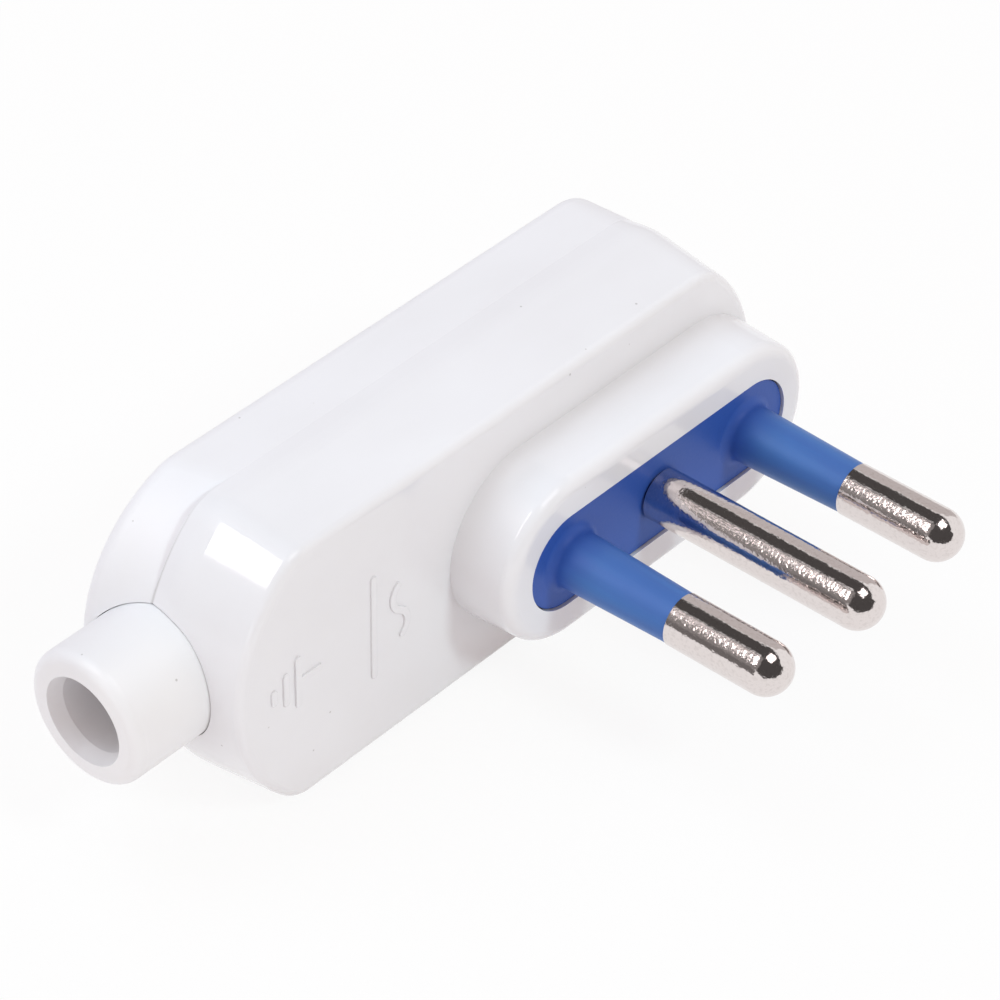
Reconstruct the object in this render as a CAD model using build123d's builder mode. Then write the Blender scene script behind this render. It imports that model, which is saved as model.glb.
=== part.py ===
"""Flat three-pin electric plug: two-part housing, insulating pin carrier, turned pins, cord clamp and cable gland.

The socket's face is the plane y = 0 and the pins point along -Y. X runs along the housing, with the cable gland at
the -X end, and Z is up with the plug lying on its long side. The earth pin's axis passes through the origin.
"""
import os
from math import radians, sqrt, tan

from build123d import *

# Contact pins
pin_diameter = 4.0
pin_pitch = 9.5
pin_length = 19.0
earth_pin_extra = 0.4
pin_neck_diameter = 2.6
earth_root_diameter = 3.4
pin_anchor_diameter = 5.0
pin_clearance = 0.05

# Insulating sleeves, moulded on the pin carrier
sleeve_length = 9.7
sleeve_root_diameter = 4.4
sleeve_tip_diameter = 3.85
sleeve_root_fillet = 0.7

# Terminals at the rear ends of the pins
terminal_width = 7.4
terminal_height = 10.0
terminal_length = 6.4
terminal_chamfer = 0.4
wire_hole_diameter = 2.5
wire_hole_setback = 3.6
terminal_screw_diameter = 3.0
terminal_screw_length = 2.2
terminal_head_diameter = 5.0
terminal_head_height = 1.5

# Housing outline at its widest, just in front of the seam
body_half_height = 11.55
gland_tip_x = -37.8
far_tip_x = 17.3
end_radius_excess = 2.65
corner_radius = 4.0

# Housing depths, walls and edges
boss_depth = 5.2
housing_depth = 8.4
cover_depth = 5.3
housing_draft = 7.0
seam_bevel_depth = 1.9
seam_bevel_inset = 0.2
rim_round_radius = 6.0
face_edge_radius = 0.7
housing_wall = 1.4
face_wall = 1.8

# Rear cover
cover_seam_tip_x = -38.0
cover_rear_tip_x = -39.5
cover_end_radius_excess = 0.35
cover_rear_inset = 0.4
cover_edge_radius = 1.2
cover_plate = 2.0
lip_depth = 1.4
lip_thickness = 0.8
lip_clearance = 0.3
lip_gap = 13.4

# Boss around the pins and its window
boss_length = 32.9
boss_height = 13.9
boss_draft = 3.0
boss_edge_radius = 1.0
boss_root_depth = 1.5
boss_wall = 1.8

# Pin carrier
insert_length = 27.4
insert_height = 7.7
insert_recess = 0.22
insert_clearance = 0.1
pocket_clearance = 0.2
anchor_setback = 0.6
ear_length = 21.0
ear_height = 13.6
ear_thickness = 1.6
ear_radius = 1.5
barrier_thickness = 1.4
barrier_height = 12.0

# Cable gland
gland_tip_distance = 44.0
gland_axis_depth = 12.9
gland_diameter = 10.3
gland_rim_radius = 0.9
gland_mouth_diameter = 6.84
gland_mouth_depth = 1.1
gland_bore_diameter = 6.0
gland_neck_diameter = 7.8
gland_flange_diameter = 11.4
gland_flange_thickness = 1.5
gland_clearance = 0.06
gland_rib_front = 2.8
gland_rib_thickness = 1.2
gland_rib_height = 12.4

# Cord clamp behind the gland
clamp_setback = 5.4
clamp_pitch = 11.2
clamp_post_diameter = 5.0
clamp_post_height = 5.6
clamp_bar_width = 5.0
clamp_bar_length = 16.4
clamp_bar_thickness = 2.2
clamp_groove_radius = 4.0
clamp_groove_depth = 0.8
clamp_saddle_height = 2.0
clamp_saddle_width = 1.6
clamp_screw_diameter = 2.6
clamp_screw_length = 6.0
clamp_head_diameter = 4.8
clamp_head_height = 1.5

# Screw that closes the housing
closing_screw_setback = 7.7
closing_screw_diameter = 3.0
closing_screw_length = 7.0
closing_head_diameter = 5.8
closing_head_height = 1.9
closing_head_recess = 0.6
closing_head_clearance = 0.3
pillar_diameter = 6.4
cover_boss_diameter = 9.4

# Screws in general
screw_clearance = 0.05
screw_hole_spare = 0.6
slot_width = 0.8
slot_depth = 0.7

# Radii of the bowed ends, always over the half height
end_radius = body_half_height + end_radius_excess
cover_end_radius = body_half_height + cover_end_radius_excess

# Depths behind the socket's face
face_y = boss_depth
seam_y = face_y + housing_depth
rim_y = seam_y - seam_bevel_depth
rear_y = seam_y + cover_depth
floor_y = face_y + face_wall
cover_inner_y = rear_y - cover_plate
carrier_back_y = floor_y + ear_thickness
anchor_y = insert_recess + anchor_setback
terminal_end_y = carrier_back_y + terminal_length
clamp_seat_y = floor_y + clamp_post_height
clamp_top_y = clamp_seat_y + clamp_bar_thickness
closing_seat_y = rear_y - closing_head_recess - closing_head_height

# Places of the gland along X
gland_rim_x = -gland_tip_distance
gland_rib_x = gland_tip_x + gland_rib_front
gland_rib_back_x = gland_rib_x + gland_rib_thickness
gland_collar_end_x = gland_rib_x - gland_clearance
gland_flange_x = gland_rib_back_x
gland_back_x = gland_flange_x + gland_flange_thickness

# Clamp and closing screw, set off from the gland's inner end
clamp_x = gland_back_x + clamp_setback
closing_screw_x = clamp_x + closing_screw_setback

# How far the drafted walls move in over a depth
face_inset = (rim_y - face_y) * tan(radians(housing_draft))
cavity_inset = (seam_y - floor_y) * tan(radians(housing_draft))
boss_inset = (boss_depth + boss_root_depth) * tan(radians(boss_draft))
root_inset = boss_root_depth * tan(radians(boss_draft))
lip_outer = housing_wall + lip_clearance
lip_inner = lip_outer + lip_thickness

boss_pocket_length = boss_length - 2 * boss_wall
boss_pocket_height = boss_height - 2 * boss_wall
clamp_offsets = (-clamp_pitch / 2, clamp_pitch / 2)
sleeved_pin_places = (-pin_pitch, pin_pitch)


def depth_plane(y):
    """Plane parallel to the socket's face, y behind it, whose normal points along the pins."""
    return Plane.XZ.offset(-y)


def across_plane(x):
    """Plane across the long axis at x, with Y to the right and Z up."""
    return Plane.YZ.offset(x)


def body_outline(grow, gland_tip=gland_tip_x, gland_radius=end_radius):
    """Outline along the pins: straight long sides, bowed ends and rounded corners, moved out by grow."""
    half = body_half_height + grow
    far_centre = far_tip_x - end_radius
    gland_centre = gland_tip + gland_radius
    far_x = far_centre + sqrt((end_radius + grow) ** 2 - half**2)
    gland_x = gland_centre - sqrt((gland_radius + grow) ** 2 - half**2)
    with BuildSketch() as outline:
        with BuildLine():
            Line((gland_x, half), (far_x, half))
            ThreePointArc((far_x, half), (far_tip_x + grow, 0), (far_x, -half))
            Line((far_x, -half), (gland_x, -half))
            ThreePointArc((gland_x, -half), (gland_tip - grow, 0), (gland_x, half))
        make_face()
        fillet(outline.vertices(), corner_radius + grow)
    return outline.sketch


def gland_notch(radius):
    """Profile across the gland's axis, open towards the seam so that the gland can be laid in."""
    with BuildSketch() as notch:
        with Locations((gland_axis_depth, 0)):
            Circle(radius)
            Rectangle(seam_y - gland_axis_depth, 2 * radius, align=(Align.MIN, Align.CENTER))
    return notch.sketch


def contact_pin(x, length, steps):
    """Turned pin with a round tip on a square terminal; steps lists each turned radius and where it ends."""
    radius = pin_diameter / 2
    tip_y = -length
    nose_y = tip_y + radius
    corners = []
    start_y = nose_y
    for step_radius, end_y in steps:
        corners += [(step_radius, start_y), (step_radius, end_y)]
        start_y = end_y
    corners += [(0, start_y), (0, tip_y)]
    wire_hole_y = terminal_end_y - wire_hole_setback
    with BuildPart() as pin:
        with BuildSketch(Plane(origin=(x, 0, 0))):
            with BuildLine():
                CenterArc((0, nose_y), radius, 270, 90)
                Polyline(corners)
            make_face()
        revolve(axis=Axis((x, 0, 0), (0, 1, 0)))
        with BuildSketch(depth_plane(carrier_back_y)):
            with Locations((x, 0)):
                Rectangle(terminal_width, terminal_height)
        extrude(amount=-terminal_length)
        chamfer(pin.faces().sort_by(Axis.Y)[-1].edges(), terminal_chamfer)
        with BuildSketch(depth_plane(terminal_end_y)):
            with Locations((x, 0)):
                Circle(terminal_screw_diameter / 2 + screw_clearance)
        extrude(amount=wire_hole_setback, mode=Mode.SUBTRACT)
        with BuildSketch(Plane.XY):
            with Locations((x, wire_hole_y)):
                Circle(wire_hole_diameter / 2)
        extrude(amount=terminal_height, both=True, mode=Mode.SUBTRACT)
    return pin.part


def slotted_screws(places, seat_y, shank_diameter, shank_length, head_diameter, head_height):
    """Slotted screws along the pins' direction, heads to the rear, with their heads seated at a depth."""
    with BuildPart() as screws:
        with BuildSketch(depth_plane(seat_y)):
            with Locations(*places):
                Circle(shank_diameter / 2)
        extrude(amount=shank_length)
        with BuildSketch(depth_plane(seat_y)):
            with Locations(*places):
                Circle(head_diameter / 2)
        extrude(amount=-head_height)
        with BuildSketch(depth_plane(seat_y + head_height)):
            with Locations(*places):
                Rectangle(slot_width, head_diameter)
        extrude(amount=slot_depth, mode=Mode.SUBTRACT)
    return screws.part


# Front housing: drafted shell with its boss, the gland's seat, the clamp posts and the closing pillar
with BuildPart() as front_housing:
    with BuildSketch(depth_plane(face_y)):
        add(body_outline(-face_inset))
    with BuildSketch(depth_plane(rim_y)):
        add(body_outline(0))
    with BuildSketch(depth_plane(seam_y)):
        add(body_outline(-seam_bevel_inset))
    loft(ruled=True)
    rim_edges = front_housing.edges().filter_by_position(Axis.Y, rim_y, rim_y)
    fillet(rim_edges, rim_round_radius)
    fillet(front_housing.faces().sort_by(Axis.Y)[0].edges(), face_edge_radius)

    with BuildSketch(depth_plane(face_y + boss_root_depth)):
        SlotOverall(boss_length + 2 * root_inset, boss_height + 2 * root_inset)
    with BuildSketch(depth_plane(0)):
        SlotOverall(
            boss_length + 2 * root_inset - 2 * boss_inset,
            boss_height + 2 * root_inset - 2 * boss_inset,
        )
    loft(ruled=True)
    fillet(front_housing.faces().sort_by(Axis.Y)[0].edges(), boss_edge_radius)

    with BuildSketch(depth_plane(seam_y)):
        add(body_outline(-housing_wall))
    with BuildSketch(depth_plane(floor_y)):
        add(body_outline(-housing_wall - cavity_inset))
    loft(ruled=True, mode=Mode.SUBTRACT)
    with BuildSketch(depth_plane(floor_y)):
        SlotOverall(boss_pocket_length, boss_pocket_height)
    extrude(amount=floor_y - boss_wall, mode=Mode.SUBTRACT)
    with BuildSketch(depth_plane(boss_wall)):
        SlotOverall(insert_length + 2 * insert_clearance, insert_height + 2 * insert_clearance)
    extrude(amount=boss_wall, mode=Mode.SUBTRACT)

    with BuildSketch(depth_plane(floor_y)):
        with Locations((gland_rib_x, 0)):
            Rectangle(gland_rib_thickness, gland_rib_height, align=(Align.MIN, Align.CENTER))
        with Locations((closing_screw_x, 0)):
            Circle(pillar_diameter / 2)
    extrude(amount=-(seam_y - floor_y))
    with BuildSketch(depth_plane(floor_y)):
        with Locations(*[(clamp_x, z) for z in clamp_offsets]):
            Circle(clamp_post_diameter / 2)
    extrude(amount=-clamp_post_height)
    with BuildSketch(depth_plane(floor_y)):
        with Locations((clamp_x, 0)):
            Rectangle(clamp_saddle_width, clamp_pitch)
    extrude(amount=-clamp_saddle_height)

    with BuildSketch(across_plane(gland_rib_x)):
        add(gland_notch(gland_diameter / 2 + gland_clearance))
    extrude(amount=-gland_tip_distance, mode=Mode.SUBTRACT)
    with BuildSketch(across_plane(gland_rib_x)):
        add(gland_notch(gland_neck_diameter / 2 + gland_clearance))
    extrude(amount=gland_rib_thickness, mode=Mode.SUBTRACT)

    with BuildSketch(depth_plane(seam_y)):
        with Locations((closing_screw_x, 0)):
            Circle(closing_screw_diameter / 2 + screw_clearance)
    extrude(amount=closing_screw_length - (closing_seat_y - seam_y) + screw_hole_spare, mode=Mode.SUBTRACT)
    with BuildSketch(depth_plane(clamp_seat_y)):
        with Locations(*[(clamp_x, z) for z in clamp_offsets]):
            Circle(clamp_screw_diameter / 2 + screw_clearance)
    extrude(amount=clamp_screw_length - clamp_bar_thickness + screw_hole_spare, mode=Mode.SUBTRACT)

# Rear cover: shallow lid with a locating lip, the gland's other half-seat and the recessed closing screw hole
with BuildPart() as rear_cover:
    with BuildSketch(depth_plane(seam_y)):
        add(body_outline(-seam_bevel_inset, cover_seam_tip_x, cover_end_radius))
    with BuildSketch(depth_plane(rear_y)):
        add(body_outline(-cover_rear_inset, cover_rear_tip_x, cover_end_radius))
    loft(ruled=True)
    fillet(rear_cover.faces().sort_by(Axis.Y)[-1].edges(), cover_edge_radius)

    with BuildSketch(depth_plane(seam_y)):
        add(body_outline(-lip_outer))
    extrude(amount=lip_depth)
    with BuildSketch(depth_plane(cover_inner_y)):
        add(body_outline(-lip_inner))
    extrude(amount=cover_inner_y - seam_y + lip_depth, mode=Mode.SUBTRACT)
    with BuildSketch(depth_plane(seam_y)):
        with Locations((gland_back_x, 0)):
            Rectangle(gland_tip_distance, lip_gap, align=(Align.MAX, Align.CENTER))
    extrude(amount=lip_depth, mode=Mode.SUBTRACT)

    with BuildSketch(depth_plane(cover_inner_y)):
        with Locations((gland_rib_x, 0)):
            Rectangle(gland_rib_thickness, gland_rib_height, align=(Align.MIN, Align.CENTER))
        with Locations((closing_screw_x, 0)):
            Circle(cover_boss_diameter / 2)
    extrude(amount=cover_inner_y - seam_y)

    with BuildSketch(across_plane(gland_rib_x)):
        with Locations((gland_axis_depth, 0)):
            Circle(gland_diameter / 2 + gland_clearance)
    extrude(amount=-gland_tip_distance, mode=Mode.SUBTRACT)
    with BuildSketch(across_plane(gland_rib_x)):
        with Locations((gland_axis_depth, 0)):
            Circle(gland_neck_diameter / 2 + gland_clearance)
    extrude(amount=gland_rib_thickness, mode=Mode.SUBTRACT)

    with BuildSketch(depth_plane(rear_y)):
        with Locations((closing_screw_x, 0)):
            Circle(closing_head_diameter / 2 + closing_head_clearance)
    extrude(amount=rear_y - closing_seat_y, mode=Mode.SUBTRACT)
    with BuildSketch(depth_plane(closing_seat_y)):
        with Locations((closing_screw_x, 0)):
            Circle(closing_screw_diameter / 2 + screw_clearance)
    extrude(amount=closing_seat_y - seam_y, mode=Mode.SUBTRACT)

# Pin carrier: blue insert with its shouldered block, ears on the housing floor, barriers and the two pin sleeves
with BuildPart() as pin_carrier:
    with BuildSketch(depth_plane(insert_recess)):
        SlotOverall(insert_length, insert_height)
    extrude(amount=-(boss_wall + insert_clearance - insert_recess))
    for x in sleeved_pin_places:
        with BuildSketch(depth_plane(insert_recess)):
            with Locations((x, 0)):
                Circle(sleeve_root_diameter / 2)
        with BuildSketch(depth_plane(-sleeve_length)):
            with Locations((x, 0)):
                Circle(sleeve_tip_diameter / 2)
        loft()
    root_edges = pin_carrier.edges().filter_by(GeomType.CIRCLE).filter_by(
        lambda edge: abs(edge.radius - sleeve_root_diameter / 2) < pin_clearance
    )
    fillet(root_edges, sleeve_root_fillet)
    with BuildSketch(depth_plane(boss_wall + insert_clearance)):
        SlotOverall(boss_pocket_length - 2 * pocket_clearance, boss_pocket_height - 2 * pocket_clearance)
    extrude(amount=-(carrier_back_y - boss_wall - insert_clearance))
    with BuildSketch(depth_plane(floor_y)):
        RectangleRounded(ear_length, ear_height, ear_radius)
    extrude(amount=-ear_thickness)
    with BuildSketch(depth_plane(carrier_back_y)):
        with Locations((-pin_pitch / 2, 0), (pin_pitch / 2, 0)):
            Rectangle(barrier_thickness, barrier_height)
    extrude(amount=-(cover_inner_y - gland_clearance - carrier_back_y))

    with BuildSketch(depth_plane(carrier_back_y)):
        with GridLocations(pin_pitch, 0, 3, 1):
            Circle(pin_anchor_diameter / 2 + pin_clearance)
    extrude(amount=carrier_back_y - anchor_y, mode=Mode.SUBTRACT)
    with BuildSketch(depth_plane(anchor_y)):
        Circle(earth_root_diameter / 2 + pin_clearance)
    extrude(amount=anchor_setback, mode=Mode.SUBTRACT)
    with BuildSketch(depth_plane(anchor_y)):
        with Locations(*[(x, 0) for x in sleeved_pin_places]):
            Circle(pin_neck_diameter / 2 + pin_clearance)
    extrude(amount=anchor_y + sleeve_length, mode=Mode.SUBTRACT)

# Contact pins: the outer two have a neck under the sleeve, the earth pin is bare, longer and relieved at its root
anchor_step = (pin_anchor_diameter / 2, carrier_back_y)
earth_steps = [(pin_diameter / 2, 0), (earth_root_diameter / 2, anchor_y), anchor_step]
sleeved_steps = [(pin_diameter / 2, -sleeve_length), (pin_neck_diameter / 2, anchor_y), anchor_step]
line_pin = contact_pin(pin_pitch, pin_length, sleeved_steps)
neutral_pin = contact_pin(-pin_pitch, pin_length, sleeved_steps)
earth_pin = contact_pin(0, pin_length + earth_pin_extra, earth_steps)

# Cable gland: collar with a countersunk bore, a neck in the housing's rib and a flange with two flats behind it
with BuildPart() as cable_gland:
    with BuildSketch(across_plane(gland_rim_x)):
        with Locations((gland_axis_depth, 0)):
            Circle(gland_diameter / 2)
    extrude(amount=gland_collar_end_x - gland_rim_x)
    fillet(cable_gland.faces().sort_by(Axis.X)[0].edges(), gland_rim_radius)
    with BuildSketch(across_plane(gland_collar_end_x)):
        with Locations((gland_axis_depth, 0)):
            Circle(gland_neck_diameter / 2)
    extrude(amount=gland_flange_x - gland_collar_end_x)
    with BuildSketch(across_plane(gland_flange_x)):
        with Locations((gland_axis_depth, 0)):
            Circle(gland_flange_diameter / 2)
        with Locations((floor_y + gland_clearance, 0)):
            Rectangle(
                cover_inner_y - floor_y - 2 * gland_clearance,
                gland_flange_diameter,
                align=(Align.MIN, Align.CENTER),
                mode=Mode.INTERSECT,
            )
    extrude(amount=gland_flange_thickness)
    with BuildSketch(across_plane(gland_rim_x)):
        with Locations((gland_axis_depth, 0)):
            Circle(gland_mouth_diameter / 2)
    with BuildSketch(across_plane(gland_rim_x + gland_mouth_depth)):
        with Locations((gland_axis_depth, 0)):
            Circle(gland_bore_diameter / 2)
    loft(mode=Mode.SUBTRACT)
    with BuildSketch(across_plane(gland_rim_x)):
        with Locations((gland_axis_depth, 0)):
            Circle(gland_bore_diameter / 2)
    extrude(amount=gland_back_x - gland_rim_x, mode=Mode.SUBTRACT)

# Cord clamp: bar across the cord on two posts, with a hollow underside
with BuildPart() as cord_clamp:
    with BuildSketch(depth_plane(clamp_seat_y)):
        with Locations((clamp_x, 0)):
            SlotOverall(clamp_bar_length, clamp_bar_width, rotation=90)
    extrude(amount=-clamp_bar_thickness)
    with BuildSketch(across_plane(clamp_x)):
        with Locations((clamp_seat_y - clamp_groove_radius + clamp_groove_depth, 0)):
            Circle(clamp_groove_radius)
    extrude(amount=clamp_bar_width, both=True, mode=Mode.SUBTRACT)
    with BuildSketch(depth_plane(clamp_top_y)):
        with Locations(*[(clamp_x, z) for z in clamp_offsets]):
            Circle(clamp_screw_diameter / 2 + screw_clearance)
    extrude(amount=clamp_bar_thickness, mode=Mode.SUBTRACT)

terminal_screws = slotted_screws(
    [(-pin_pitch, 0), (0, 0), (pin_pitch, 0)],
    terminal_end_y,
    terminal_screw_diameter,
    terminal_screw_length,
    terminal_head_diameter,
    terminal_head_height,
)
clamp_screws = slotted_screws(
    [(clamp_x, z) for z in clamp_offsets],
    clamp_top_y,
    clamp_screw_diameter,
    clamp_screw_length,
    clamp_head_diameter,
    clamp_head_height,
)
housing_screw = slotted_screws(
    [(closing_screw_x, 0)],
    closing_seat_y,
    closing_screw_diameter,
    closing_screw_length,
    closing_head_diameter,
    closing_head_height,
)

pieces = {
    "front_housing": front_housing.part,
    "rear_cover": rear_cover.part,
    "pin_carrier": pin_carrier.part,
    "line_pin": line_pin,
    "neutral_pin": neutral_pin,
    "earth_pin": earth_pin,
    "terminal_screws": terminal_screws,
    "cable_gland": cable_gland.part,
    "cord_clamp": cord_clamp.part,
    "clamp_screws": clamp_screws,
    "housing_screw": housing_screw,
}
os.makedirs("parts", exist_ok=True)
for name, piece in pieces.items():
    piece.label = name
    export_step(piece, f"parts/{name}.step")
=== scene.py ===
"""Flat electric plug: finishes of its CAD pieces, marks moulded on its face and the studio around it."""
import math

import bpy
from bpy.props import FloatProperty, FloatVectorProperty, PointerProperty
from bpy.types import Operator, Panel, PropertyGroup
from mathutils import Matrix, Vector


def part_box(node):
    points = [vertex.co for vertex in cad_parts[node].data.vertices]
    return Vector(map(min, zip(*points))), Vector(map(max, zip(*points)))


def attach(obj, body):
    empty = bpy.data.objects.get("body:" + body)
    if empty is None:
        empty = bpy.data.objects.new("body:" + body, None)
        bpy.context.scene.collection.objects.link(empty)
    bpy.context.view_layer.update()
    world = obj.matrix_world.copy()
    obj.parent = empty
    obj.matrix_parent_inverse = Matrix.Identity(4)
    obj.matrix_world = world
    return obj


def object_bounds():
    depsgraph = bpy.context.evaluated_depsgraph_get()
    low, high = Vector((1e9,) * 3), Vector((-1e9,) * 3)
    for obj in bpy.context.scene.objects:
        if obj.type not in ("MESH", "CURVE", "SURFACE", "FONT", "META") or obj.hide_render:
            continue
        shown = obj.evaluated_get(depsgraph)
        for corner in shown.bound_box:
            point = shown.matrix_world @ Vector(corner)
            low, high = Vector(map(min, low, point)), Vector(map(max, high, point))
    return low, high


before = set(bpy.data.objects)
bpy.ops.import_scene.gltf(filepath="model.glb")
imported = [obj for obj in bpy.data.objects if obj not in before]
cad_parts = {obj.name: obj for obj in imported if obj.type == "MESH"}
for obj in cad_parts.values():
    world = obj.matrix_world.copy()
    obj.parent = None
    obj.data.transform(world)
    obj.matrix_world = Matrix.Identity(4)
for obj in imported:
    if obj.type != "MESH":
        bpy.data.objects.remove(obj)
CAD_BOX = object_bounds()

bl_info = {
    "name": "Flat electric plug",
    "version": (1, 0, 0),
    "blender": (4, 5, 0),
    "location": "View3D > Sidebar > Plug",
    "description": "Finishes, moulded marks and studio for a flat electric plug",
    "category": "Object",
}

BODY = "root"
MM = 0.001
WHITE = (1, 1, 1, 1)
SHARP_ANGLE = math.radians(50)
WAVE_STEPS = 12
# Lengths of the earth mark's bars as parts of its width
EARTH_BARS = (1.0, 0.64, 0.30)
# Round at the ends of a raised line as a part of its stroke, and at its top edges as a part of its relief
END_ROUND = 0.48
EDGE_ROUND = 0.45
FLOOR_SIZE = 6
# Part of the floor's look that is plain white to the camera, so that its shadow stays faint
FLOOR_WHITE = 0.9
CARD_TINT = (1, 0.94, 0.93, 1)
# Distance from the plug to the soft lights
LIGHT_REACH = 0.6
# Cards around the plug: name, direction, width across the pins, height along them, distance, brightness
CARDS = (
    ("window", (-0.593, 0.305, 0.745), 0.296, 0.09, 0.50, 7.0),
    ("high_blind", (-0.280, 0.508, 0.814), 0.030, 0.14, 0.50, 1.0),
    ("middle_blind", (-0.404, 0.508, 0.760), 0.030, 0.14, 0.50, 1.0),
    ("low_blind", (-0.518, 0.508, 0.688), 0.030, 0.14, 0.50, 1.0),
    ("ceiling_lamp", (0.08, -0.37, 0.93), 0.26, 0.24, 0.50, 2.5),
    ("dark_ceiling", (0.208, 0.0, 0.978), 0.46, 1.50, 0.56, 0.08),
    ("dark_front", (-0.475, -0.643, 0.601), 1.00, 1.50, 0.58, 0.08),
    ("left_card", (-0.62, 0.40, 0.67), 0.62, 0.60, 0.60, 0.27),
    ("dark_corner", (-0.85, 0.50, 0.10), 0.24, 0.50, 0.54, 0.18),
    ("right_card", (0.80, 0.50, 0.34), 0.62, 0.80, 0.60, 0.62),
)
# Soft lights around the plug: name, direction and width
LIGHTS = (
    ("key", (0.06, -0.69, 0.72), 0.12),
    ("top", (-0.10, 0.45, 0.89), 0.40),
    ("side", (-0.96, 0.16, 0.16), 0.30),
)


def colour(label, words, default):
    """A colour that a user can change in the panel."""
    return FloatVectorProperty(name=label, description=words, default=default, size=4, subtype="COLOR",
                               min=0, max=1)


def length(label, words, millimetres):
    """A length that a user can change in the panel, given here in millimetres."""
    return FloatProperty(name=label, description=words, default=millimetres * MM, unit="LENGTH",
                         subtype="DISTANCE", precision=5)


def angle(label, words, degrees):
    """An angle that a user can change in the panel, given here in degrees."""
    return FloatProperty(name=label, description=words, default=math.radians(degrees), unit="ROTATION",
                         subtype="ANGLE")


def share(label, words, default):
    """A plain number that a user can change in the panel."""
    return FloatProperty(name=label, description=words, default=default, min=0)


class PlugColours(PropertyGroup):
    """Colours of the plug's finishes."""

    shell: colour("Shell", "White plastic of the two housing halves", (0.86, 0.86, 0.885, 1))
    shell_shade: colour("Shell shade", "Flow shade in the white plastic", (0.82, 0.815, 0.835, 1))
    gland: colour("Gland", "Softer white of the cable gland", (0.88, 0.875, 0.885, 1))
    # This colour also paints the shade along the seam near the gland.
    speck_and_seam_shade: colour("Speck", "Dust specks in the white plastic", (0.42, 0.40, 0.39, 1))
    blue: colour("Blue", "Blue plastic of the pin sleeves", (0.052, 0.140, 0.42, 1))
    insert: colour("Insert", "Deeper blue of the insert between the sleeves", (0.030, 0.090, 0.40, 1))
    # Paler streak colour: a painted sheen like the highlight streaks on the sleeves.
    blue_sheen_streak: colour("Blue streak", "Paler flow streaks in the blue plastic", (0.055, 0.182, 0.485, 1))
    nickel: colour("Nickel", "Bright plating of the pins", (0.76, 0.70, 0.685, 1))
    nickel_shade: colour("Nickel shade", "Darker pits in the plating", (0.55, 0.49, 0.47, 1))
    steel: colour("Steel", "Plated steel of the screws and the clamp", (0.56, 0.56, 0.58, 1))
    floor: colour("Floor", "Studio floor", (0.90, 0.87, 0.86, 1))


class PlugMarks(PropertyGroup):
    """Sizes of the marks moulded on the housing's face."""

    relief: length("Relief", "Height of a mark above the face", 0.16)
    sunk: length("Sunk", "Depth of a mark's foot in the face", 0.10)
    stroke: length("Stroke", "Width of a raised line", 0.55)
    rule_x: length("Rule place", "Where the plain rule stands along the housing", -24.2)
    rule_length: length("Rule length", "Length of the plain rule", 9.0)
    earth_x: length("Earth mark place", "Where the earth mark's widest bar stands along the housing", -31.6)
    earth_height: length("Earth mark height", "From the stem's end to the smallest bar", 4.6)
    earth_width: length("Earth mark width", "Length of the widest bar", 4.4)
    wave_x: length("Wave place", "Where the supply wave stands along the housing", -21.6)
    wave_radius: length("Wave radius", "Radius of the supply wave's arcs", 1.35)
    wave_angle: angle("Wave angle", "Half of the angle of each arc of the supply wave", 62)


class PlugStudio(PropertyGroup):
    """Camera and light around the plug."""

    azimuth: angle("Azimuth", "Camera's turn from the pins' side", -49.078)
    elevation: angle("Elevation", "Camera's height above the horizon", 39.185)
    roll: angle("Roll", "Camera's turn about its own axis", 0.913)
    distance: length("Distance", "From the pins' root to the camera", 296.679)
    pan_right: length("Pan right", "Camera's shift to its right", -11.358)
    pan_up: length("Pan up", "Camera's shift upwards", -0.458)
    focal_length: share("Focal length", "Lens in millimetres on a 36 mm sensor", 151.861)
    key_power: share("Key power", "Soft light above the pins in watts", 1.16)
    key_tint: colour("Key tint", "Daylight of the soft light above the pins", (0.81, 0.985, 1.0, 1))
    top_power: share("Top power", "Soft light above the cover in watts", 1.39)
    top_tint: colour("Top tint", "Daylight of the soft light above the cover", (0.645, 0.845, 1.0, 1))
    side_power: share("Side power", "Soft light from behind the gland in watts", 0.72)
    side_tint: colour("Side tint", "Daylight of the soft light behind the gland", (0.82, 0.965, 1.0, 1))
    room_light: share("Room light", "Even light of the white room", 0.622)
    room_tint: colour("Room tint", "Warm light that the walls give back", (1.0, 0.83, 0.785, 1))


class Wire:
    """A shader socket in a Python expression; arithmetic on it adds Math nodes."""

    def __init__(self, finish, socket):
        self.finish = finish
        self.socket = socket

    def combine(self, operation, first, second):
        return self.finish.node("ShaderNodeMath", {"operation": operation}, {0: first, 1: second})

    def __add__(self, other):
        return self.combine("ADD", self, other)

    def __radd__(self, other):
        return self.combine("ADD", other, self)

    def __sub__(self, other):
        return self.combine("SUBTRACT", self, other)

    def __rsub__(self, other):
        return self.combine("SUBTRACT", other, self)

    def __mul__(self, other):
        return self.combine("MULTIPLY", self, other)

    def __rmul__(self, other):
        return self.combine("MULTIPLY", other, self)


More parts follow.
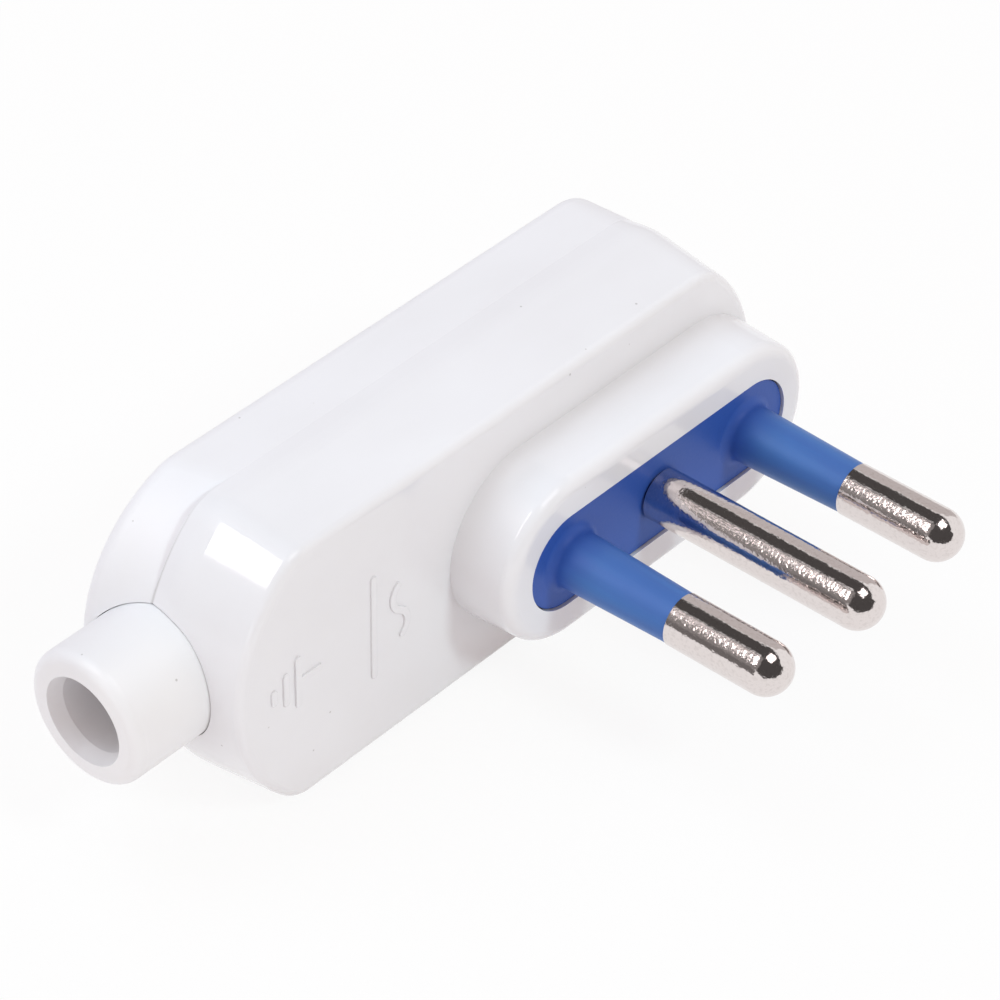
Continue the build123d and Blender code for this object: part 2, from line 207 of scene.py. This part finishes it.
class Finish:
    """Node tree of a material or the world while it is built."""

    def __init__(self, owner):
        owner.use_nodes = True
        self.owner = owner
        self.tree = owner.node_tree
        self.tree.nodes.clear()

    def node(self, kind, settings=None, inputs=None, output=0):
        """Adds a node, makes its settings, fills or links its sockets and returns one of its outputs."""
        added = self.tree.nodes.new(kind)
        for key, value in (settings or {}).items():
            setattr(added, key, value)
        for key, value in (inputs or {}).items():
            if isinstance(value, Wire):
                self.tree.links.new(value.socket, added.inputs[key])
            else:
                added.inputs[key].default_value = value
        return Wire(self, added.outputs[output]) if added.outputs else None

    def place(self, scale=(1, 1, 1)):
        """Object coordinates, stretched by a scale along each axis."""
        coordinates = self.node("ShaderNodeTexCoord", output="Object")
        return self.node("ShaderNodeMapping", inputs={"Vector": coordinates, "Scale": scale})

    def noise(self, place, scale, detail):
        return self.node("ShaderNodeTexNoise", inputs={"Vector": place, "Scale": scale, "Detail": detail})

    def ramp(self, value, low, high):
        """0 below low and 1 above high, straight between them."""
        return self.node("ShaderNodeMapRange", inputs={"Value": value, "From Min": low, "From Max": high})

    def specks(self, spacing, radius, part):
        """1 in round specks: one in each cell of a loose grid, kept in the given part of the cells."""
        cells = {"Vector": self.place(), "Scale": 1 / spacing}
        distance = self.node("ShaderNodeTexVoronoi", inputs=cells, output="Distance")
        draw = self.node("ShaderNodeTexVoronoi", inputs=cells, output="Color")
        red = self.node("ShaderNodeSeparateColor", inputs={"Color": draw})
        kept = self.node("ShaderNodeMath", {"operation": "LESS_THAN"}, {0: red, 1: part})
        return kept * self.ramp(distance, radius / spacing, 0.6 * radius / spacing)

    def mix(self, factor, first, second):
        """Mix of two colours."""
        return self.node(
            "ShaderNodeMix", {"data_type": "RGBA"}, {0: factor, 6: first, 7: second}, output=2,
        )

    def bump(self, height, strength, depth):
        return self.node(
            "ShaderNodeBump", inputs={"Height": height, "Strength": strength, "Distance": depth},
        )

    def in_sight(self):
        """1 where the camera sees a surface, mirrored or through glass too, 0 where it only lights."""
        seen = self.node("ShaderNodeLightPath", output="Is Camera Ray")
        mirrored = self.node("ShaderNodeLightPath", output="Is Glossy Ray")
        through = self.node("ShaderNodeLightPath", output="Is Transmission Ray")
        return self.node(
            "ShaderNodeMath", {"operation": "ADD", "use_clamp": True}, {0: seen + mirrored, 1: through},
        )

    def surface(self, **inputs):
        """Ends the material in a Principled shader."""
        named = {
            key.replace("_", " ").title().replace("Ior", "IOR"): value for key, value in inputs.items()
        }
        shader = self.node("ShaderNodeBsdfPrincipled", inputs=named)
        self.node("ShaderNodeOutputMaterial", inputs={"Surface": shader})
        return self.owner


def colours():
    return bpy.context.scene.plug_colours


def marks():
    return bpy.context.scene.plug_marks


def studio():
    return bpy.context.scene.plug_studio


def tone(value):
    """A panel colour as plain numbers."""
    return tuple(value)


def moulded_white(name, base, gloss, peel, seam_shade=0.0):
    """White injection-moulded plastic: faint flow shades, dust specks, a wavy gloss and painted shade along
    the seam.
    """
    finish = Finish(bpy.data.materials.new(name))
    place = finish.place()
    flow = finish.ramp(finish.noise(finish.place((60, 110, 60)), 1.0, 3.0), 0.35, 0.75)
    specks = finish.specks(2.2 * MM, 0.11 * MM, 0.35)
    wave = finish.noise(place, 420.0, 1.0)
    grain = finish.noise(place, 5200.0, 2.0)
    white = finish.mix(flow, tone(base), tone(colours().shell_shade))
    # Painted shade along the seam's step and gap, darkest near the gland, in the speck colour.
    if seam_shade:
        white = finish.mix(seam_shade * painted_seam_shadow(finish), white, tone(colours().speck_and_seam_shade))
    dusted_and_shaded = finish.mix(specks * 0.6, white, tone(colours().speck_and_seam_shade))
    return finish.surface(
        base_color=dusted_and_shaded,
        roughness=gloss + 0.04 * grain + 0.04 * flow,
        normal=finish.bump(wave + 0.06 * grain, peel, 0.00025),
    )


def painted_seam_shadow(finish):
    """1 on the seam's line, where shade is painted, fading out away from the gland."""
    place = finish.place()
    along = finish.node("ShaderNodeSeparateXYZ", inputs={"Vector": place}, output="X")
    depth = finish.node("ShaderNodeSeparateXYZ", inputs={"Vector": place}, output="Y")
    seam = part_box("front_housing")[1].y
    beside = finish.node("ShaderNodeMath", {"operation": "ABSOLUTE"}, {0: depth - seam})
    return finish.ramp(beside, 0.17 * MM, 0.04 * MM) * finish.ramp(along, -30 * MM, -36 * MM)


def moulded_blue():
    """Semi-gloss blue plastic: deep and even on the insert, paler along the sleeves, with painted sheen in
    lengthwise streaks there.
    """
    finish = Finish(bpy.data.materials.new("blue_moulding"))
    place = finish.place()
    depth = finish.node("ShaderNodeSeparateXYZ", inputs={"Vector": place}, output="Y")
    sleeve = finish.ramp(depth, -0.4 * MM, -3.2 * MM)
    # Painted sheen: paler, shinier lengthwise streaks on the sleeves in place of their highlight streaks.
    sheen_streaks = sleeve * finish.ramp(finish.noise(finish.place((800, 60, 800)), 1.0, 3.0), 0.42, 0.78)
    cloud = finish.noise(place, 130.0, 1.0)
    grain = finish.noise(place, 4200.0, 2.0)
    plain = finish.mix(sleeve, tone(colours().insert), tone(colours().blue))
    blue = finish.mix(0.7 * sheen_streaks + 0.15 * cloud, plain, tone(colours().blue_sheen_streak))
    return finish.surface(
        base_color=blue,
        specular_ior_level=0.3,
        roughness=0.38 + 0.12 * grain - 0.06 * sheen_streaks,
        normal=finish.bump(grain + 0.5 * sheen_streaks, 0.05, 0.0002),
    )


def turned_nickel():
    """Bright nickel over turned brass: fine pits and faint turning lines break up its highlights."""
    finish = Finish(bpy.data.materials.new("turned_nickel"))
    pits = finish.noise(finish.place((4600, 3400, 4600)), 1.0, 1.0)
    rings = finish.noise(finish.place((250, 5200, 250)), 1.0, 1.0)
    dark = finish.ramp(pits, 0.50, 0.68)
    plate = finish.mix(0.22 * dark, tone(colours().nickel), tone(colours().nickel_shade))
    return finish.surface(
        base_color=plate,
        metallic=1.0,
        roughness=0.06 + 0.06 * pits + 0.03 * rings,
        normal=finish.bump(pits + 0.12 * rings, 1.0, 0.000012),
    )


def plated_steel():
    """Zinc-plated steel of the screws and the clamp, brushed across."""
    finish = Finish(bpy.data.materials.new("plated_steel"))
    brushed = finish.noise(finish.place((5200, 300, 300)), 1.0, 3.0)
    cloudy = finish.noise(finish.place(), 700.0, 2.0)
    return finish.surface(
        base_color=tone(colours().steel),
        metallic=1.0,
        roughness=0.26 + 0.14 * brushed + 0.08 * cloudy,
        normal=finish.bump(brushed, 0.08, 0.0001),
    )


def dress(material, *names):
    """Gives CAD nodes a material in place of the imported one."""
    for name in names:
        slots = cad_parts[name].material_slots
        if not slots:
            raise RuntimeError(f"the node {name} has no material slot")
        for slot in slots:
            slot.material = material


def clear_selection():
    if bpy.context.object and bpy.context.object.mode != "OBJECT":
        bpy.ops.object.mode_set(mode="OBJECT")
    bpy.ops.object.select_all(action="DESELECT")


def face_depth():
    """Depth of the housing's flat face: that of the largest set of its faces that look along the pins."""
    areas = {}
    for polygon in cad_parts["front_housing"].data.polygons:
        if polygon.normal.y < -0.999:
            depth = round(polygon.center.y, 6)
            areas[depth] = areas.get(depth, 0) + polygon.area
    if not areas:
        raise RuntimeError("the front housing has no flat face")
    return max(areas, key=areas.get)


def mark_height():
    return marks().relief + marks().sunk


def mark_depth():
    """Depth of the middle of a mark, so that its foot is in the face and its top stands clear of it."""
    return face_depth() + marks().sunk - mark_height() / 2


def raised_bar(x, z, along_x, along_z):
    """One straight raised line with round ends, standing on the housing's face."""
    clear_selection()
    bpy.ops.mesh.primitive_cube_add(size=1, location=(x, mark_depth(), z))
    bar = bpy.context.object
    bar.scale = (along_x, mark_height(), along_z)
    bpy.ops.object.transform_apply(location=True, rotation=True, scale=True)
    round_ends(bar)
    return bar


def raised_wave(x, z):
    """Raised wave of two arcs that run on along Z, one to each side."""
    size = marks()
    chord = 2 * size.wave_radius * math.sin(size.wave_angle)
    sag = size.wave_radius * math.cos(size.wave_angle)
    clear_selection()
    bpy.ops.mesh.primitive_plane_add(size=1)
    wave = bpy.context.object
    wave.scale = (size.stroke, mark_height(), 1)
    wave.rotation_euler = (0, size.wave_angle, 0)
    wave.location = (x, mark_depth(), z - chord)
    bpy.ops.object.transform_apply(location=True, rotation=True, scale=True)
    bpy.ops.object.mode_set(mode="EDIT")
    bpy.ops.mesh.select_all(action="SELECT")
    for side in (-1, 1):
        bpy.ops.mesh.spin(
            steps=WAVE_STEPS,
            angle=-2 * side * size.wave_angle,
            center=(x + side * sag, mark_depth(), z + side * chord / 2),
            axis=(0, 1, 0),
        )
    bpy.ops.mesh.select_all(action="SELECT")
    bpy.ops.mesh.normals_make_consistent(inside=False)
    bpy.ops.object.mode_set(mode="OBJECT")
    round_ends(wave)
    return wave


def round_ends(line):
    """Rounds the ends of a raised line across its width."""
    bpy.ops.object.mode_set(mode="EDIT")
    bpy.ops.mesh.select_mode(type="EDGE")
    bpy.ops.mesh.select_all(action="DESELECT")
    bpy.ops.mesh.edges_select_sharp(sharpness=SHARP_ANGLE)
    bpy.ops.object.mode_set(mode="OBJECT")
    spots = [vertex.co for vertex in line.data.vertices]
    upright = [
        edge.index for edge in line.data.edges
        if edge.select and abs(spots[edge.vertices[0]].y - spots[edge.vertices[1]].y) > mark_height() / 2
    ]
    bpy.ops.object.mode_set(mode="EDIT")
    bpy.ops.mesh.select_all(action="DESELECT")
    bpy.ops.object.mode_set(mode="OBJECT")
    for index in upright:
        line.data.edges[index].select = True
    bpy.ops.object.mode_set(mode="EDIT")
    bpy.ops.mesh.bevel(offset=END_ROUND * marks().stroke, segments=6)
    bpy.ops.object.mode_set(mode="OBJECT")


def apply_modifier(piece, kind, **settings):
    """Adds a modifier to the piece and applies it."""
    clear_selection()
    piece.select_set(True)
    bpy.context.view_layer.objects.active = piece
    modifier = piece.modifiers.new(kind.lower(), kind)
    for key, value in settings.items():
        setattr(modifier, key, value)
    bpy.ops.object.modifier_apply(modifier=modifier.name)


def fuse(piece, other):
    """Joins two crossing lines into one solid."""
    apply_modifier(piece, "BOOLEAN", operation="UNION", solver="EXACT", object=other)
    bpy.data.objects.remove(other)


def finish_mark(name, lines):
    """Softens the lines of one mark as the mould does, joins them and lets the mark ride on the plug."""
    for line in lines:
        apply_modifier(line, "BEVEL", width=EDGE_ROUND * marks().relief, segments=3,
                       limit_method="ANGLE", angle_limit=SHARP_ANGLE)
        bpy.ops.object.shade_smooth_by_angle(angle=SHARP_ANGLE)
    clear_selection()
    for line in lines:
        line.select_set(True)
    mark = lines[0]
    bpy.context.view_layer.objects.active = mark
    if len(lines) > 1:
        bpy.ops.object.join()
    mark.name = name
    mark.data.materials.clear()
    mark.data.materials.append(bpy.data.materials["white_moulding"])
    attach(mark, BODY)


class PLUG_OT_shells(Operator):
    """Gives the front housing its gloss and the rear cover its satin white finish"""

    bl_idname = "plug.shells"
    bl_label = "Finish the housing halves"

    def execute(self, context):
        shell = colours().shell
        # Both halves get painted shade along the seam.
        glossy = moulded_white("white_moulding", shell, gloss=0.08, peel=0.04, seam_shade=0.45)
        satin = moulded_white("satin_moulding", shell, gloss=0.44, peel=0.05, seam_shade=0.45)
        dress(glossy, "front_housing")
        dress(satin, "rear_cover")
        return {"FINISHED"}


class PLUG_OT_gland(Operator):
    """Gives the cable gland its softer white finish"""

    bl_idname = "plug.gland"
    bl_label = "Finish the cable gland"

    def execute(self, context):
        dress(moulded_white("gland_moulding", colours().gland, gloss=0.36, peel=0.10), "cable_gland")
        return {"FINISHED"}


class PLUG_OT_carrier(Operator):
    """Gives the pin carrier and its sleeves their blue moulded finish"""

    bl_idname = "plug.carrier"
    bl_label = "Finish the pin carrier"

    def execute(self, context):
        dress(moulded_blue(), "pin_carrier")
        return {"FINISHED"}


class PLUG_OT_pins(Operator):
    """Gives the contact pins their bright turned plating"""

    bl_idname = "plug.pins"
    bl_label = "Finish the pins"

    def execute(self, context):
        dress(turned_nickel(), "line_pin", "neutral_pin", "earth_pin")
        return {"FINISHED"}


class PLUG_OT_metalwork(Operator):
    """Gives the screws and the cord clamp their plated steel"""

    bl_idname = "plug.metalwork"
    bl_label = "Finish the screws and the clamp"

    def execute(self, context):
        dress(plated_steel(), "terminal_screws", "clamp_screws", "housing_screw", "cord_clamp")
        return {"FINISHED"}


class PLUG_OT_earth_mark(Operator):
    """Models the earth sign raised on the housing's face"""

    bl_idname = "plug.earth_mark"
    bl_label = "Model the earth mark"

    def execute(self, context):
        size = marks()
        x, z = size.earth_x, 0.0
        stem = size.earth_height / 2
        lines = [
            raised_bar(x - step * stem / 2, z, size.stroke, size.earth_width * part)
            for step, part in enumerate(EARTH_BARS)
        ]
        fuse(lines[0], raised_bar(x + stem / 2, z, stem, size.stroke))
        finish_mark("earth_mark", lines)
        return {"FINISHED"}


class PLUG_OT_rule_mark(Operator):
    """Models the plain rule raised on the housing's face"""

    bl_idname = "plug.rule_mark"
    bl_label = "Model the rule"

    def execute(self, context):
        size = marks()
        finish_mark("rule_mark", [raised_bar(size.rule_x, 0.0, size.stroke, size.rule_length)])
        return {"FINISHED"}


class PLUG_OT_supply_mark(Operator):
    """Models the wave of an alternating supply raised on the housing's face"""

    bl_idname = "plug.supply_mark"
    bl_label = "Model the supply wave"

    def execute(self, context):
        finish_mark("supply_mark", [raised_wave(marks().wave_x, 0.0)])
        return {"FINISHED"}


class PLUG_OT_stage(Operator):
    """Builds the white studio: floor, light and camera"""

    bl_idname = "plug.stage"
    bl_label = "Build the studio"

    def execute(self, context):
        scene = context.scene
        scene.view_settings.view_transform = "Standard"
        light_room(scene)
        lay_floor()
        for card in CARDS:
            hang_card(*card)
        for name, direction, width in LIGHTS:
            power, tint = (getattr(studio(), f"{name}_{value}") for value in ("power", "tint"))
            soft_box(f"{name}_light", direction, width, power, tint)
        place_camera(scene)
        return {"FINISHED"}


def light_room(scene):
    """Even white room: white to the camera and in reflections, dimmer and warmer as light."""
    scene.world = bpy.data.worlds.new("white_room")
    room = Finish(scene.world)
    shown = room.in_sight()
    shade = room.mix(shown, tone(studio().room_tint), WHITE)
    strength = studio().room_light + (1.0 - studio().room_light) * shown
    light = room.node("ShaderNodeBackground", inputs={"Color": shade, "Strength": strength})
    room.node("ShaderNodeOutputWorld", inputs={"Surface": light})


def lay_floor():
    """White floor at the plug's lowest line, mostly plain white to the camera."""
    clear_selection()
    bpy.ops.mesh.primitive_plane_add(size=FLOOR_SIZE, location=(0, 0, CAD_BOX[0].z))
    floor = bpy.context.object
    floor.name = "floor"
    finish = Finish(bpy.data.materials.new("studio_floor"))
    plain = finish.node("ShaderNodeBsdfDiffuse", inputs={"Color": tone(colours().floor)})
    white = finish.node("ShaderNodeEmission", inputs={"Color": WHITE, "Strength": 1.0})
    shown = FLOOR_WHITE * finish.in_sight()
    lit = finish.node("ShaderNodeMixShader", inputs={0: shown, 1: plain, 2: white})
    finish.node("ShaderNodeOutputMaterial", inputs={"Surface": lit})
    floor.data.materials.append(finish.owner)


def facing_plug(direction, distance):
    """Place in the given direction from the plug, turned to face it, with its width across the pins."""
    away = Vector(direction).normalized()
    across = Vector((0, 1, 0)).cross(away).normalized()
    middle = (CAD_BOX[0] + CAD_BOX[1]) / 2
    turn = Matrix((across, away.cross(across), away)).transposed().to_4x4()
    return Matrix.Translation(middle + distance * away) @ turn


def hang_card(name, direction, width, height, distance, glow):
    """Card that only reflections show: a bright one is a highlight, a dark one a dark band on the metal."""
    clear_selection()
    bpy.ops.mesh.primitive_plane_add(size=1)
    card = bpy.context.object
    card.name = name
    card.matrix_world = facing_plug(direction, distance) @ Matrix.Diagonal((width, height, 1, 1))
    finish = Finish(bpy.data.materials.new(name))
    shine = finish.node("ShaderNodeEmission", inputs={"Color": CARD_TINT, "Strength": glow})
    finish.node("ShaderNodeOutputMaterial", inputs={"Surface": shine})
    card.data.materials.append(finish.owner)
    card.visible_camera = False
    card.visible_diffuse = False
    card.visible_shadow = False


def soft_box(name, direction, width, power, tint):
    """Square soft light that faces the plug and shows neither to the camera nor in a reflection."""
    lamp = bpy.data.lights.new(name, "AREA")
    lamp.size = width
    lamp.energy = power
    lamp.color = tint[:3]
    box = bpy.data.objects.new(name, lamp)
    bpy.context.scene.collection.objects.link(box)
    box.visible_camera = False
    box.visible_glossy = False
    box.matrix_world = facing_plug(direction, LIGHT_REACH)


def place_camera(scene):
    """Camera at the photograph's angle, aimed past the pins' root."""
    view = studio()
    back = Vector((
        math.sin(view.azimuth) * math.cos(view.elevation),
        -math.cos(view.azimuth) * math.cos(view.elevation),
        math.sin(view.elevation),
    ))
    level = Vector((math.cos(view.azimuth), math.sin(view.azimuth), 0))
    above = back.cross(level)
    right = level * math.cos(view.roll) + above * math.sin(view.roll)
    up = above * math.cos(view.roll) - level * math.sin(view.roll)
    lens = bpy.data.cameras.new("camera")
    lens.lens = view.focal_length
    lens.sensor_width = 36
    lens.clip_start = 0.01
    lens.clip_end = 20
    camera = bpy.data.objects.new("camera", lens)
    scene.collection.objects.link(camera)
    turn = Matrix((right, up, back)).transposed().to_4x4()
    at = back * view.distance + right * view.pan_right + up * view.pan_up
    camera.matrix_world = Matrix.Translation(at) @ turn
    scene.camera = camera


class PLUG_PT_panel(Panel):
    """Lists the plug's colours, sizes and steps"""

    bl_label = "Flat electric plug"
    bl_idname = "PLUG_PT_panel"
    bl_space_type = "VIEW_3D"
    bl_region_type = "UI"
    bl_category = "Plug"

    def draw(self, context):
        for group in (context.scene.plug_colours, context.scene.plug_marks, context.scene.plug_studio):
            box = self.layout.box()
            for key in group.__annotations__:
                box.prop(group, key)
        for step in STEPS:
            self.layout.operator(step.bl_idname)


GROUPS = {"plug_colours": PlugColours, "plug_marks": PlugMarks, "plug_studio": PlugStudio}
STEPS = (
    PLUG_OT_shells,
    PLUG_OT_gland,
    PLUG_OT_carrier,
    PLUG_OT_pins,
    PLUG_OT_metalwork,
    PLUG_OT_earth_mark,
    PLUG_OT_rule_mark,
    PLUG_OT_supply_mark,
    PLUG_OT_stage,
)


def register():
    for name, group in GROUPS.items():
        bpy.utils.register_class(group)
        setattr(bpy.types.Scene, name, PointerProperty(type=group))
    for step in STEPS:
        bpy.utils.register_class(step)
    bpy.utils.register_class(PLUG_PT_panel)


def unregister():
    bpy.utils.unregister_class(PLUG_PT_panel)
    for step in reversed(STEPS):
        bpy.utils.unregister_class(step)
    for name, group in GROUPS.items():
        delattr(bpy.types.Scene, name)
        bpy.utils.unregister_class(group)


def main():
    register()
    for step in STEPS:
        family, action = step.bl_idname.split(".")
        getattr(getattr(bpy.ops, family), action)()


if __name__ == "__main__":
    main()
